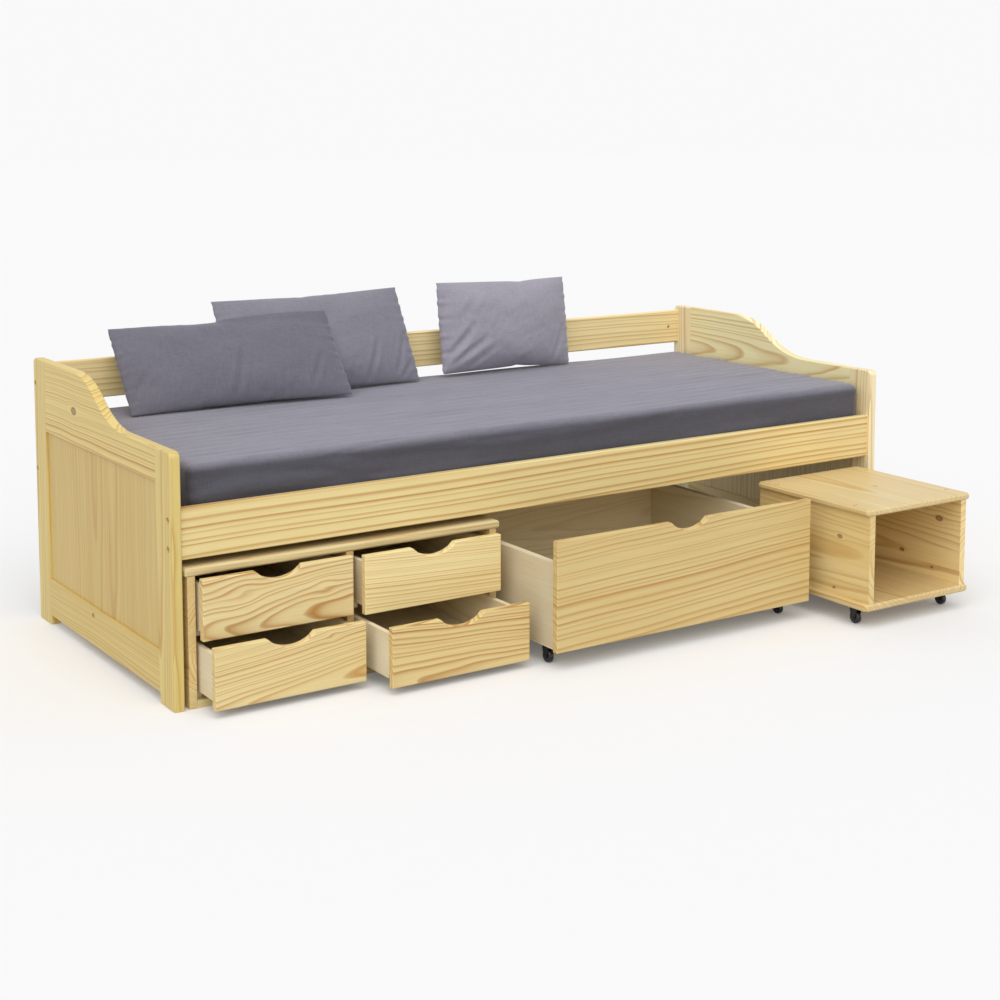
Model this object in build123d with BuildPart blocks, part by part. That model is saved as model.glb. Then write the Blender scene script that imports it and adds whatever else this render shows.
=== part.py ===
"""Pine daybed with a four drawer chest, a rolling drawer and a rolling side table under it.

Millimetres, +Z up. X runs along the bed from left to right, and the front is towards -Y.
The origin lies on the floor, in the middle of the whole object as it stands with its drawers
partly pulled out.
"""

import os
from math import cos, radians, sin, sqrt

from build123d import *

os.makedirs("parts", exist_ok=True)

# Bed frame
inside_length = 2026.0
frame_depth = 850.0
end_thickness = 24.0
post_width = 80.0
back_height = 665.0
end_drop = 100.0
post_corner_radius = 14.0
arris = 2.5

# Top rail of each end: a convex arc and then a concave one, measured from the back
curve_from_back = 280.0
convex_run = 140.0
concave_run = 170.0
top_rail_height = 75.0
bottom_rail_bottom = 23.5
bottom_rail_height = 94.5
end_panel_thickness = 14.0
panel_tongue = 8.0
panel_clearance = 0.1

# Long rails
rail_thickness = 20.0
rail_height = 113.0
rail_bottom = 328.0
front_rail_setback = 9.0
backrest_height = 100.0
backrest_drop = 14.0

# Bolts and their cross nuts
bolt_radius = 3.0
bolt_clearance = 0.2
bolt_tip_reach = 3.5
bolt_head_radius = 6.4
bolt_head_height = 4.0
bolt_socket_width = 5.0
bolt_socket_depth = 3.0
counterbore_radius = 7.5
counterbore_depth = 9.0
front_bolt_spacing = 63.0
cross_nut_radius = 5.0
cross_nut_length = 14.0
cross_nut_inset = 38.0
cross_nut_clearance = 0.1

# Slatted base
ledger_width = 22.0
ledger_height = 30.0
ledger_rise = 15.0
ledger_end_gap = 12.0
slat_count = 14
slat_width = 70.0
slat_thickness = 18.0
slat_end_gap = 2.0

# Mattress
mattress_height = 137.0
mattress_left_gap = 30.0
mattress_right_gap = 6.0
mattress_rail_gap = 1.5
mattress_corner_radius = 34.0
mattress_top_radius = 22.0
mattress_bottom_chamfer = 7.0
soft_clearance = 0.4

# Pillows and cushion: width, height and thickness; the middle of the lower seam from the bed's
# left end, in front of the backrest and above the mattress; yaw, backward lean and roll in degrees
seam_half_thickness = 5.0
left_pillow_size = (596.0, 264.0, 92.0)
left_pillow_place = (470.0, 208.0, 4.3)
left_pillow_turn = (-5.0, 42.0, 1.0)
middle_pillow_size = (576.0, 277.0, 92.0)
middle_pillow_place = (762.0, 119.0, 1.6)
middle_pillow_turn = (3.5, 26.0, 0.2)
small_cushion_size = (446.0, 258.0, 104.0)
small_cushion_place = (1361.0, 73.0, 4.3)
small_cushion_turn = (2.0, 9.0, -1.0)
cushion_draw = 10.0
cushion_stations = (-1.0, -0.6, 0.0, 0.6, 1.0)
cushion_flatness = 2.4
cushion_taper = 0.75

# Clearances of the units under the bed
unit_setback = 3.0
fit_gap = 1.5
slide_gap = 0.5
joint_gap = 0.1

# Chest with four drawers
chest_left_gap = 11.5
chest_width = 788.0
chest_depth = 600.0
chest_rail_gap = 16.5
chest_top_thickness = 20.0
chest_top_overhang = 6.5
chest_top_round = 6.5
chest_board = 18.0
chest_bottom_thickness = 17.0
chest_back_thickness = 6.0
runner_width = 20.0
runner_height = 16.0

# Drawers of the chest, each with how far it is pulled out
drawer_front_thickness = 18.0
box_board = 12.0
box_inset = 6.0
box_length = 540.0
box_drop = 18.0
groove_height = 7.0
groove_depth = 5.0
drawer_bottom_thickness = 4.0
upper_left_pull = 35.0
lower_left_pull = 92.0
upper_right_pull = 51.0
lower_right_pull = 171.0

# Grip cut into the top edge of every drawer front
grip_width = 115.0
grip_depth = 23.0
grip_shoulder_width = 13.0
grip_shoulder_drop = 11.0
front_arris = 1.5

# Rolling drawer
roller_gap = 2.5
roller_table_gap = 42.0
roller_rail_gap = 21.0
roller_pull = 239.0
roller_side_length = 606.0
roller_side_height = 200.0
roller_side_inset = 10.0
roller_board = 18.0
roller_bottom_thickness = 4.0

# Rolling side table
table_right_gap = 31.0
table_width = 365.0
table_depth = 406.0
table_rail_gap = 25.5
table_pull = 396.0
table_top_thickness = 16.0
table_bottom_thickness = 18.0
table_side_thickness = 18.0
table_overhang = 12.0
table_side_setback = 5.0
table_back_thickness = 8.0
table_corner_radius = 12.0
table_arris = 4.0
screw_radius = 2.0
screw_length = 36.0
screw_spacing = 9.0
screw_clearance = 0.1
screw_from_front = 65.0
screw_from_back = 55.0

# Castors
castor_height = 46.0
wheel_radius = 16.0
wheel_width = 13.0
tread_chamfer = 2.5
axle_radius = 2.5
axle_clearance = 0.07
axle_proud = 1.2
fork_gap = 0.8
fork_sheet = 2.0
fork_plate_length = 38.0
fork_cheek_length = 27.0
fork_eye_radius = 6.5
roller_castor_side_inset = 32.0
roller_castor_front_inset = 81.0
roller_castor_back_inset = 60.0
table_castor_side_inset = 30.0
table_castor_end_inset = 66.0

# Places that follow from the sizes above
inner_x = inside_length / 2
outer_x = inner_x + end_thickness
front_y = -(frame_depth - (table_pull - unit_setback)) / 2
back_y = front_y + frame_depth
units_y = front_y + unit_setback
post_inner_front = front_y + post_width
post_inner_back = back_y - post_width
front_height = back_height - end_drop
top_rail_bottom = front_height - top_rail_height
bottom_rail_top = bottom_rail_bottom + bottom_rail_height
backrest_bottom = back_height - backrest_drop - backrest_height
bolt_length = end_thickness - counterbore_depth + cross_nut_inset + bolt_tip_reach
front_rail_y = front_y + front_rail_setback
rear_rail_y = back_y - rail_thickness
bed_middle_y = (front_rail_y + rail_thickness + rear_rail_y) / 2
ledger_bottom = rail_bottom + ledger_rise
slat_bottom = ledger_bottom + ledger_height
mattress_bottom = slat_bottom + slat_thickness + soft_clearance
mattress_length = inside_length - mattress_left_gap - mattress_right_gap
mattress_width = rear_rail_y - front_rail_y - rail_thickness - 2 * mattress_rail_gap
chest_height = rail_bottom - chest_rail_gap
chest_left = -inner_x + chest_left_gap
chest_right = chest_left + chest_width
chest_back_y = units_y + chest_depth
chest_boards_top = chest_height - chest_top_thickness
table_height = rail_bottom - table_rail_gap
table_right = inner_x - table_right_gap
table_left = table_right - table_width
roller_left = chest_right + chest_top_overhang + roller_gap
roller_right = table_left - roller_table_gap
roller_front_y = units_y - roller_pull
roller_top = rail_bottom - roller_rail_gap
table_front_y = units_y - table_pull
table_back_y = table_front_y + table_depth


def across(x):
    """Plane facing +X at the given X; its own axes run along +Y and +Z."""
    return Plane(origin=(x, 0, 0), x_dir=(0, 1, 0), z_dir=(1, 0, 0))


def facing_front(y):
    """Plane facing the front at the given Y; its own axes run along +X and +Z."""
    return Plane(origin=(0, y, 0), x_dir=(1, 0, 0), z_dir=(0, -1, 0))


def facing_out(side, distance):
    """Plane facing outwards on side -1 or 1; its own axes run along side * Y and +Z."""
    return Plane(origin=(side * distance, 0, 0), x_dir=(0, side, 0), z_dir=(side, 0, 0))


def keep(piece, name):
    """Label a finished piece and write its file."""
    piece.part.label = name
    export_step(piece.part, f"parts/{name}.step")


def fill_box(x, y, z, mode=Mode.ADD):
    """Extrude the box between low and high values along each axis."""
    with BuildSketch(Plane.XY.offset(z[0])) as base:
        with Locations(((x[0] + x[1]) / 2, (y[0] + y[1]) / 2)):
            Rectangle(x[1] - x[0], y[1] - y[0])
    extrude(base.sketch, amount=z[1] - z[0], mode=mode)


def board(x, y, z):
    """A plain board between low and high values along each axis."""
    with BuildPart() as piece:
        fill_box(x, y, z)
    return piece


def bolt_places(side):
    """Where an end's bolts are, on a plane that faces out on its side."""
    front = side * (front_rail_y + rail_thickness / 2)
    rear = side * (rear_rail_y + rail_thickness / 2)
    middle = rail_bottom + rail_height / 2
    return [
        (front, middle - front_bolt_spacing / 2),
        (front, middle + front_bolt_spacing / 2),
        (rear, middle),
        (rear, backrest_bottom + backrest_height / 2),
    ]


def make_end_blank(side):
    """A whole end as it looks once glued up: outline, opening, panel groove and bolt holes."""
    drop = back_height - front_height
    curve_start = (back_y - curve_from_back, back_height)
    turn_height = back_height - drop * convex_run / (convex_run + concave_run)
    turn = (curve_start[0] - convex_run, turn_height)
    curve_end = (turn[0] - concave_run, front_height)
    low_x = min(side * inner_x, side * outer_x)
    with BuildPart() as blank:
        with BuildSketch(across(low_x)) as outline:
            with BuildLine():
                Polyline(
                    curve_end,
                    (front_y, front_height),
                    (front_y, 0),
                    (post_inner_front, 0),
                    (post_inner_front, bottom_rail_bottom),
                    (post_inner_back, bottom_rail_bottom),
                    (post_inner_back, 0),
                    (back_y, 0),
                    (back_y, back_height),
                    curve_start,
                )
                convex = TangentArc(curve_start, turn, tangent=(-1, 0))
                TangentArc(turn, curve_end, tangent=convex % 1)
            make_face()
            corners = outline.vertices().filter_by_position(Axis.Y, front_height - 1, back_height + 1)
            front_corner = corners.sort_by(Axis.X)[0]
            back_corner = corners.sort_by(Axis.X)[-1]
            fillet([front_corner, back_corner], post_corner_radius)
            opening_y = (post_inner_front + post_inner_back) / 2
            opening_z = (bottom_rail_top + top_rail_bottom) / 2
            with Locations((opening_y, opening_z)):
                Rectangle(
                    post_inner_back - post_inner_front,
                    top_rail_bottom - bottom_rail_top,
                    mode=Mode.SUBTRACT,
                )
        extrude(amount=end_thickness)
        rims = [face.outer_wire() for face in blank.faces().filter_by(Axis.X)]
        chamfer([edge for rim in rims for edge in rim.edges()], arris)
        middle_x = side * (inner_x + end_thickness / 2)
        half = end_panel_thickness / 2 + panel_clearance
        fill_box(
            (middle_x - half, middle_x + half),
            (post_inner_front - panel_tongue, post_inner_back + panel_tongue),
            (bottom_rail_top - panel_tongue, top_rail_bottom + panel_tongue),
            Mode.SUBTRACT,
        )
        with Locations(facing_out(side, outer_x)):
            with Locations(*bolt_places(side)):
                CounterBoreHole(
                    bolt_radius + bolt_clearance,
                    counterbore_radius,
                    counterbore_depth,
                    end_thickness,
                )
    return blank


def cut_from(blank, y, z):
    """The piece of an end that lies between the given Y and Z values."""
    with BuildPart() as piece:
        add(blank.part)
        fill_box((-outer_x, outer_x), y, z, Mode.INTERSECT)
    return piece


def make_end(side, name):
    """Posts, rails and panel of one end."""
    blank = make_end_blank(side)
    between_posts = (post_inner_front, post_inner_back)
    keep(cut_from(blank, (front_y, post_inner_front), (0, back_height)), f"{name}_front_post")
    keep(cut_from(blank, (post_inner_back, back_y), (0, back_height)), f"{name}_rear_post")
    keep(cut_from(blank, between_posts, (0, bottom_rail_top)), f"{name}_bottom_rail")
    keep(cut_from(blank, between_posts, (top_rail_bottom, back_height)), f"{name}_top_rail")
    middle_x = side * (inner_x + end_thickness / 2)
    half = end_panel_thickness / 2
    reach = panel_tongue - panel_clearance
    panel = board(
        (middle_x - half, middle_x + half),
        (post_inner_front - reach, post_inner_back + reach),
        (bottom_rail_top - reach, top_rail_bottom + reach),
    )
    keep(panel, f"{name}_end_panel")


def make_long_rail(low_y, bottom, height, bolt_heights, nut_side):
    """A rail between the ends, with bolt holes in its ends and cross nut holes on one face."""
    middle_y = low_y + rail_thickness / 2
    nut_face = Plane(
        origin=(0, middle_y + nut_side * rail_thickness / 2, 0),
        x_dir=(-nut_side, 0, 0),
        z_dir=(0, nut_side, 0),
    )
    nut_x = inner_x - cross_nut_inset
    with BuildPart() as rail:
        fill_box(
            (-inner_x, inner_x),
            (low_y, low_y + rail_thickness),
            (bottom, bottom + height),
        )
        chamfer(rail.edges().filter_by(Axis.X), arris)
        for side in (-1, 1):
            with Locations(facing_out(side, inner_x)):
                with Locations(*[(side * middle_y, z) for z in bolt_heights]):
                    Hole(bolt_radius + bolt_clearance, cross_nut_inset)
        with Locations(nut_face):
            with Locations(*[(x, z) for z in bolt_heights for x in (-nut_x, nut_x)]):
                Hole(cross_nut_radius + cross_nut_clearance, (rail_thickness + cross_nut_length) / 2)
    return rail


def make_long_rails():
    """Front rail, rear rail and backrest rail."""
    middle = rail_bottom + rail_height / 2
    pair = [middle - front_bolt_spacing / 2, middle + front_bolt_spacing / 2]
    keep(make_long_rail(front_rail_y, rail_bottom, rail_height, pair, 1), "front_rail")
    keep(make_long_rail(rear_rail_y, rail_bottom, rail_height, [middle], -1), "rear_rail")
    backrest_bolts = [backrest_bottom + backrest_height / 2]
    backrest = make_long_rail(rear_rail_y, backrest_bottom, backrest_height, backrest_bolts, -1)
    keep(backrest, "backrest_rail")


def make_bolts():
    """Socket head bolts that hold the long rails to the ends."""
    seat = outer_x - counterbore_depth
    with BuildPart() as bolts:
        for side in (-1, 1):
            with BuildSketch(facing_out(side, seat)):
                with Locations(*bolt_places(side)):
                    Circle(bolt_head_radius)
            extrude(amount=bolt_head_height)
            with BuildSketch(facing_out(side, seat)):
                with Locations(*bolt_places(side)):
                    Circle(bolt_radius)
            extrude(amount=-bolt_length)
            with BuildSketch(facing_out(side, seat + bolt_head_height)):
                with Locations(*bolt_places(side)):
                    RegularPolygon(bolt_socket_width / sqrt(3), 6)
            extrude(amount=-bolt_socket_depth, mode=Mode.SUBTRACT)
    return bolts


def make_cross_nuts():
    """Cross nuts in the long rails, one across each bolt."""
    nut_x = inner_x - cross_nut_inset
    with BuildPart() as nuts:
        for side in (-1, 1):
            for place, z in bolt_places(side):
                with BuildSketch(facing_front(side * place)):
                    with Locations((side * nut_x, z)):
                        Circle(cross_nut_radius)
                extrude(amount=cross_nut_length / 2, both=True)
            with Locations(facing_out(side, inner_x)):
                with Locations(*bolt_places(side)):
                    Hole(bolt_radius + bolt_clearance, cross_nut_inset + cross_nut_radius)
    return nuts


def make_ledgers():
    """Two strips on the inner faces of the long rails, which carry the slats."""
    half = inner_x - ledger_end_gap
    height = (ledger_bottom, slat_bottom)
    with BuildPart() as ledgers:
        front = front_rail_y + rail_thickness
        fill_box((-half, half), (front, front + ledger_width), height)
        fill_box((-half, half), (rear_rail_y - ledger_width, rear_rail_y), height)
    return ledgers


def make_slats():
    """Slats laid across the ledgers at an even pitch."""
    length = rear_rail_y - front_rail_y - rail_thickness - 2 * slat_end_gap
    pitch = (inside_length - 2 * ledger_end_gap - slat_width) / (slat_count - 1)
    with BuildPart() as slats:
        with BuildSketch(Plane.XY.offset(slat_bottom)):
            with Locations((0, bed_middle_y)):
                with GridLocations(pitch, 0, slat_count, 1):
                    Rectangle(slat_width, length)
        extrude(amount=slat_thickness)
    return slats


def make_mattress():
    """Sheeted foam mattress: rounded corners, a soft upper rim and a slightly drawn-in lower one."""
    middle_x = inner_x - mattress_right_gap - mattress_length / 2
    with BuildPart() as mattress:
        with BuildSketch(Plane.XY.offset(mattress_bottom)):
            with Locations((middle_x, bed_middle_y)):
                RectangleRounded(mattress_length, mattress_width, mattress_corner_radius)
        extrude(amount=mattress_height)
        fillet(mattress.edges().group_by(Axis.Z)[-1], mattress_top_radius)
        chamfer(mattress.edges().group_by(Axis.Z)[0], mattress_bottom_chamfer)
    return mattress


def cushion_plane(place, turn):
    """Plane of a cushion on the mattress: x along its lower edge, y up it and z forwards.

    The turn is its yaw, the lean of its top towards the back and its roll, in degrees.
    """
    yaw, lean, roll = (radians(angle) for angle in turn)
    along = Vector(cos(yaw), sin(yaw), 0)
    backward = Vector(-sin(yaw), cos(yaw), 0)
    upward = Vector(0, 0, cos(lean)) + backward * sin(lean)
    x_dir = along * cos(roll) + upward * sin(roll)
    y_dir = upward * cos(roll) - along * sin(roll)
    mattress_top = mattress_bottom + mattress_height
    origin = (-outer_x + place[0], rear_rail_y - place[1], mattress_top + place[2])
    return Plane(origin=origin, x_dir=x_dir, z_dir=x_dir.cross(y_dir))


def make_cushion(size, plane, growth=0.0):
    """Stuffed cushion: two crowned faces that meet in a seam, with all four sides drawn in.

    Lens shaped sections are lofted across the width, and both ends are then cut to arcs. The
    growth moves every surface out by about that much.
    """
    width, height, thickness = size
    half_width = width / 2 + growth
    with BuildPart() as cushion:
        for station in cushion_stations:
            fill = (1 - abs(station) ** cushion_flatness) ** cushion_taper
            bulge = seam_half_thickness + (thickness / 2 - seam_half_thickness) * fill + growth
            low = cushion_draw * (1 - station**2) - growth
            high = height - low
            middle = height / 2
            origin = plane.from_local_coords(Vector(station * half_width, 0, 0))
            with BuildSketch(Plane(origin=origin, x_dir=plane.y_dir, z_dir=plane.x_dir)):
                with BuildLine():
                    face = ThreePointArc((low, 0), (middle, bulge), (high, 0))
                    ThreePointArc(face @ 1, (middle, -bulge), face @ 0)
                make_face()
        loft()
        with BuildSketch(plane):
            with BuildLine():
                waist = half_width - cushion_draw
                low, high = -growth, height + growth
                right = ThreePointArc((half_width, low), (waist, height / 2), (half_width, high))
                left = ThreePointArc((-half_width, high), (-waist, height / 2), (-half_width, low))
                Line(right @ 1, left @ 0)
                Line(left @ 1, right @ 0)
            make_face()
        extrude(amount=thickness, both=True, mode=Mode.INTERSECT)
    return cushion


def make_cushions():
    """Two pillows and a small cushion; the left pillow is pressed in by the middle one."""
    middle_plane = cushion_plane(middle_pillow_place, middle_pillow_turn)
    left_plane = cushion_plane(left_pillow_place, left_pillow_turn)
    small_plane = cushion_plane(small_cushion_place, small_cushion_turn)
    keep(make_cushion(middle_pillow_size, middle_plane), "middle_pillow")
    keep(make_cushion(small_cushion_size, small_plane), "small_cushion")
    pressing = make_cushion(middle_pillow_size, middle_plane, soft_clearance)
    whole = make_cushion(left_pillow_size, left_plane)
    with BuildPart() as left_pillow:
        add(whole.part)
        add(pressing.part, mode=Mode.SUBTRACT)
    keep(left_pillow, "left_pillow")


def make_chest():
    """Carcass of the chest: five boards, a thin back and the strips that carry the drawers."""
    y = (units_y, chest_back_y)
    upright = (0, chest_boards_top)
    inner_left = chest_left + chest_board
    inner_right = chest_right - chest_board
    middle = (inner_left + inner_right) / 2
    divider = (middle - chest_board / 2, middle + chest_board / 2)
    inner_back = chest_back_y - chest_back_thickness
    inner_y = (units_y, inner_back)
    keep(board((chest_left, inner_left), y, upright), "chest_left_side")
    keep(board((inner_right, chest_right), y, upright), "chest_right_side")
    keep(board((inner_left, inner_right), inner_y, (0, chest_bottom_thickness)), "chest_bottom")
    keep(board(divider, inner_y, (chest_bottom_thickness, chest_boards_top)), "chest_divider")
    keep(board((inner_left, inner_right), (inner_back, chest_back_y), upright), "chest_back")
    with BuildPart() as top:
        fill_box(
            (chest_left - chest_top_overhang, chest_right + chest_top_overhang),
            (units_y - unit_setback, chest_back_y),
            (chest_boards_top, chest_height),
        )
        rounded = top.edges().filter_by(GeomType.LINE) - top.edges().filter_by(Axis.Z)
        rounded -= top.faces().sort_by(Axis.Y)[-1].edges()
        fillet(rounded, chest_top_round)
    keep(top, "chest_top")
    keep(make_runners(inner_left, divider, inner_right), "chest_runners")


def make_runners(inner_left, divider, inner_right):
    """Strips under the sides of all four drawers, from behind their fronts to the back."""
    y = (units_y + drawer_front_thickness + fit_gap, chest_back_y - chest_back_thickness)
    lefts = (inner_left, divider[0] - runner_width, divider[1], inner_right - runner_width)
    with BuildPart() as runners:
        for top in (small_box_bottom(0) - slide_gap, small_box_bottom(1) - slide_gap):
            for left in lefts:
                fill_box((left, left + runner_width), y, (top - runner_height, top))
    return runners


def small_front_z(level):
    """Lower and upper edge of a small drawer front, on level 0 or 1."""
    room = chest_boards_top - chest_bottom_thickness
    height = (room - 3 * fit_gap) / 2
    low = chest_bottom_thickness + fit_gap + level * (height + fit_gap)
    return low, low + height


def small_box_bottom(level):
    """Lower edge of a small drawer's box: on the lower level it clears the strips on the bottom."""
    return small_front_z(level)[0] + runner_height - fit_gap + slide_gap


def make_front(x, y, z, thickness):
    """Drawer front with a grip in its top edge: two sloped shoulders and an arc between them."""
    middle = (x[0] + x[1]) / 2
    half = grip_width / 2
    left = (middle - half + grip_shoulder_width, z[1] - grip_shoulder_drop)
    right = (middle + half - grip_shoulder_width, z[1] - grip_shoulder_drop)
    with BuildPart() as front:
        with BuildSketch(facing_front(y)):
            with Locations((middle, (z[0] + z[1]) / 2)):
                Rectangle(x[1] - x[0], z[1] - z[0])
            with BuildLine():
                Polyline(left, (middle - half, z[1]), (middle + half, z[1]), right)
                ThreePointArc(left, (middle, z[1] - grip_depth), right)
            make_face(mode=Mode.SUBTRACT)
        extrude(amount=-thickness)
        faces = front.faces().filter_by(Axis.Y)
        chamfer([edge for face in faces for edge in face.edges()], front_arris)
    return front


def make_small_drawer(name, side, level, pull):
    """A chest drawer: its front, a box of three boards and a bottom panel in grooves."""
    bay_left = chest_left + chest_board + side * (chest_width - chest_board) / 2
    bay_right = bay_left + (chest_width - 3 * chest_board) / 2
    x = (bay_left + fit_gap, bay_right - fit_gap)
    front_z = small_front_z(level)
    front_face = units_y - pull
    keep(make_front(x, front_face, front_z, drawer_front_thickness), f"{name}_drawer_front")
    y = (front_face + drawer_front_thickness, front_face + drawer_front_thickness + box_length)
    z = (small_box_bottom(level), front_z[1] - box_drop)
    left = (x[0] + box_inset, x[0] + box_inset + box_board)
    right = (x[1] - box_inset - box_board, x[1] - box_inset)
    panel_z = (z[0] + groove_height, z[0] + groove_height + drawer_bottom_thickness)
    groove_x = (left[1] - groove_depth, right[0] + groove_depth)
    groove_z = (panel_z[0] - joint_gap, panel_z[1] + joint_gap)
    with BuildPart() as box:
        fill_box(left, y, z)
        fill_box(right, y, z)
        fill_box(groove_x, y, groove_z, Mode.SUBTRACT)
        fill_box(
            (left[1] + joint_gap, right[0] - joint_gap),
            (y[1] - box_board, y[1]),
            (groove_z[1], z[1]),
        )
    keep(box, f"{name}_drawer_box")
    panel_x = (groove_x[0] + joint_gap, groove_x[1] - joint_gap)
    keep(board(panel_x, y, panel_z), f"{name}_drawer_bottom")


def make_wheel(place):
    """Solid castor wheel with chamfered shoulders and a bore for its axle."""
    half = wheel_width / 2
    bore = axle_radius + axle_clearance
    with BuildPart() as wheel:
        with BuildSketch(Plane(origin=place, x_dir=(0, 0, 1), z_dir=(0, 1, 0))):
            with BuildLine():
                Polyline(
                    (bore, -half),
                    (bore, half),
                    (wheel_radius - tread_chamfer, half),
                    (wheel_radius, half - tread_chamfer),
                    (wheel_radius, tread_chamfer - half),
                    (wheel_radius - tread_chamfer, -half),
                    close=True,
                )
            make_face()
        revolve(axis=Axis(place, (1, 0, 0)))
    return wheel


def make_forks(places):
    """Pressed steel forks with their riveted axles, one for each wheel centre given."""
    inner = wheel_width / 2 + fork_gap
    outer = inner + fork_sheet
    plate_bottom = castor_height - fork_sheet
    with BuildPart() as forks:
        for x, y, z in places:
            fill_box(
                (x - outer, x + outer),
                (y - fork_plate_length / 2, y + fork_plate_length / 2),
                (plate_bottom, castor_height),
            )
            for cheek_x in (x - outer, x + inner):
                with BuildSketch(across(cheek_x)):
                    with Locations((y, z)):
                        Circle(fork_eye_radius)
                    with Locations((y, plate_bottom)):
                        Rectangle(fork_cheek_length, fork_sheet)
                    make_hull()
                extrude(amount=fork_sheet)
            with BuildSketch(across(x - outer - axle_proud)):
                with Locations((y, z)):
                    Circle(axle_radius)
            extrude(amount=2 * (outer + axle_proud))
    return forks


def make_castors(name, x_places, y_places):
    """Four castors: a node with the forks and one node for each wheel."""
    corners = {
        "front_left": (x_places[0], y_places[0], wheel_radius),
        "front_right": (x_places[1], y_places[0], wheel_radius),
        "back_left": (x_places[0], y_places[1], wheel_radius),
        "back_right": (x_places[1], y_places[1], wheel_radius),
    }
    for corner, place in corners.items():
        keep(make_wheel(place), f"{name}_{corner}_wheel")
    keep(make_forks(corners.values()), f"{name}_castor_forks")


def make_rolling_drawer():
    """The deep drawer on castors: front, two sides, a back and a thin bottom under them."""
    x = (roller_left, roller_right)
    front_z = (castor_height, roller_top)
    keep(make_front(x, roller_front_y, front_z, drawer_front_thickness), "rolling_drawer_front")
    y = (
        roller_front_y + drawer_front_thickness,
        roller_front_y + drawer_front_thickness + roller_side_length,
    )
    z = (
        castor_height + roller_bottom_thickness,
        castor_height + roller_bottom_thickness + roller_side_height,
    )
    outer = (x[0] + roller_side_inset, x[1] - roller_side_inset)
    inner = (outer[0] + roller_board, outer[1] - roller_board)
    with BuildPart() as sides:
        fill_box((outer[0], inner[0]), y, z)
        fill_box((inner[1], outer[1]), y, z)
    keep(sides, "rolling_drawer_sides")
    keep(board(inner, (y[1] - roller_board, y[1]), z), "rolling_drawer_back")
    keep(board(outer, y, (castor_height, z[0])), "rolling_drawer_bottom")
    castor_x = (x[0] + roller_castor_side_inset, x[1] - roller_castor_side_inset)
    castor_y = (roller_front_y + roller_castor_front_inset, y[1] - roller_castor_back_inset)
    make_castors("rolling_drawer", castor_x, castor_y)


def make_table_panel(low_z, thickness, screw_places=()):
    """Top or bottom of the side table: rounded corners, eased edges and any screw holes."""
    x = (table_left + table_right) / 2
    y = (table_front_y + table_back_y) / 2
    with BuildPart() as panel:
        with BuildSketch(Plane.XY.offset(low_z)):
            with Locations((x, y)):
                RectangleRounded(table_width, table_depth, table_corner_radius)
        extrude(amount=thickness)
        faces = panel.faces().filter_by(Axis.Z)
        chamfer([edge for face in faces for edge in face.edges()], table_arris)
        if screw_places:
            with Locations(Plane.XY.offset(low_z + thickness)):
                with Locations(*screw_places):
                    Hole(screw_radius + screw_clearance, thickness)
    return panel


def make_table_side(x, screw_places):
    """Side board of the table, with the holes of its screws."""
    z = (castor_height + table_bottom_thickness, table_height - table_top_thickness)
    with BuildPart() as side:
        fill_box(x, (table_front_y + table_side_setback, table_back_y), z)
        with Locations(Plane.XY.offset(z[1])):
            with Locations(*screw_places):
                Hole(screw_radius + screw_clearance, screw_length - table_top_thickness + screw_clearance)
    return side


def make_table_screws(screw_places):
    """Screws driven flush through the table's top into its sides."""
    with BuildPart() as screws:
        with BuildSketch(Plane.XY.offset(table_height - screw_length)):
            with Locations(*screw_places):
                Circle(screw_radius)
        extrude(amount=screw_length)
    return screws


def make_side_table():
    """The open side table on castors: top, bottom, two sides, a back and its screws."""
    left = (table_left + table_overhang, table_left + table_overhang + table_side_thickness)
    right = (table_right - table_overhang - table_side_thickness, table_right - table_overhang)
    screw_y = (table_front_y + screw_from_front, table_back_y - screw_from_back)
    places = {
        side: [
            (sum(side) / 2 + offset, y)
            for y in screw_y
            for offset in (-screw_spacing / 2, screw_spacing / 2)
        ]
        for side in (left, right)
    }
    all_places = places[left] + places[right]
    top_low = table_height - table_top_thickness
    keep(make_table_panel(top_low, table_top_thickness, all_places), "side_table_top")
    keep(make_table_panel(castor_height, table_bottom_thickness), "side_table_bottom")
    keep(make_table_side(left, places[left]), "side_table_left_side")
    keep(make_table_side(right, places[right]), "side_table_right_side")
    back_face = table_back_y - table_side_setback
    back = board(
        (left[1], right[0]),
        (back_face - table_back_thickness, back_face),
        (castor_height + table_bottom_thickness, top_low),
    )
    keep(back, "side_table_back")
    keep(make_table_screws(all_places), "side_table_screws")
    castor_x = (table_left + table_castor_side_inset, table_right - table_castor_side_inset)
    castor_y = (table_front_y + table_castor_end_inset, table_back_y - table_castor_end_inset)
    make_castors("side_table", castor_x, castor_y)


make_end(-1, "left")
make_end(1, "right")
make_long_rails()
keep(make_bolts(), "frame_bolts")
keep(make_cross_nuts(), "cross_nuts")
keep(make_ledgers(), "slat_ledgers")
keep(make_slats(), "bed_slats")
keep(make_mattress(), "mattress")
make_cushions()
make_chest()
make_small_drawer("upper_left", 0, 1, upper_left_pull)
make_small_drawer("lower_left", 0, 0, lower_left_pull)
make_small_drawer("upper_right", 1, 1, upper_right_pull)
make_small_drawer("lower_right", 1, 0, lower_right_pull)
make_rolling_drawer()
make_side_table()
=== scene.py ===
"""Looks of a pine daybed with drawers and a side table under it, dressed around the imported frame.

Metres and +Z up, as in the frame; the front is towards -Y. Grain, knots and creases are given in
millimetres, because that is how a joiner or a seamstress would write them.
"""

import logging
import math
from dataclasses import dataclass, field
from enum import Enum
from typing import ClassVar
import bmesh
import bpy
import numpy as np
from bpy.types import Material, Mesh, NodeSocket, NodeTree, Object
from mathutils import Matrix, Vector
from mathutils.bvhtree import BVHTree


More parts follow.
